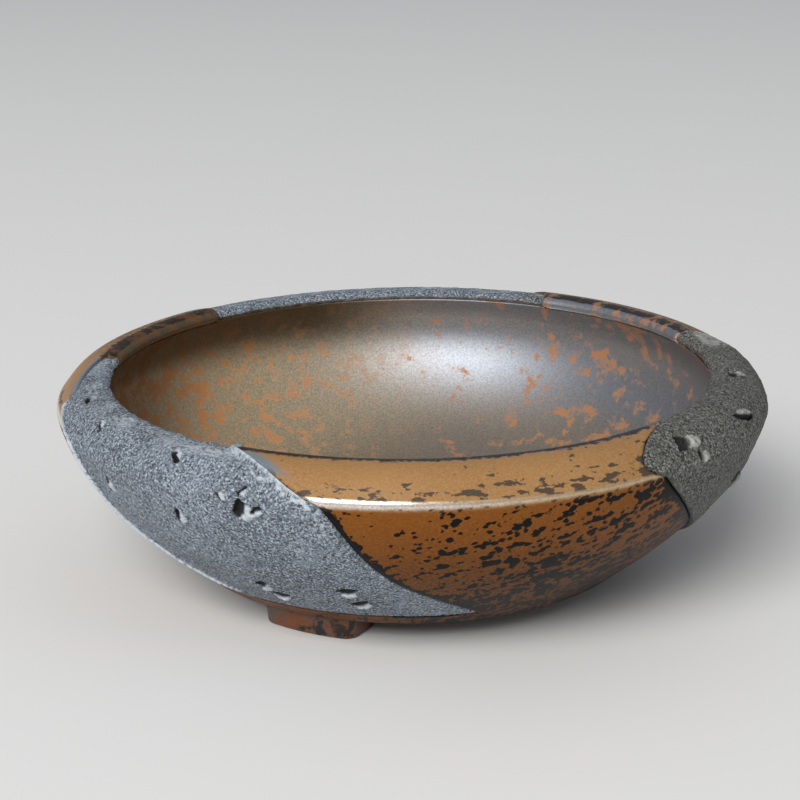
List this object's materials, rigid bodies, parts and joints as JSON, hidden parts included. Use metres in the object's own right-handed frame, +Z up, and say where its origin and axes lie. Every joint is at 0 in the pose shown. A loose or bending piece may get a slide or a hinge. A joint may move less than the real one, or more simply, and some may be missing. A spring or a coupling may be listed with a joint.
{
  "type": "round bonsai pot",
  "caption": "Low round stoneware bonsai bowl with a rolled shoulder, rough torn clay slabs wrapped over its lip, a drain hole, tie-wire holes and block feet.",
  "frame": {"origin": "on the ground, under the middle of the bowl", "axes": "+Z up, +X towards the right of the picture, -Y towards its camera"},
  "size_m": [0.2996, 0.2998, 0.0933],
  "materials": {
    "brown_glaze": "satin",
    "grogged_clay": "rough, unglazed, grainy",
    "foot_glaze": "satin"
  },
  "bodies": {
    "root": {"bowl_body": "brown_glaze", "stone_patch_left": "grogged_clay", "stone_patch_right": "grogged_clay", "stone_patch_back": "grogged_clay", "foot_right": "foot_glaze", "foot_back_left": "foot_glaze", "foot_front_left": "foot_glaze"}
  },
  "joints": []
}
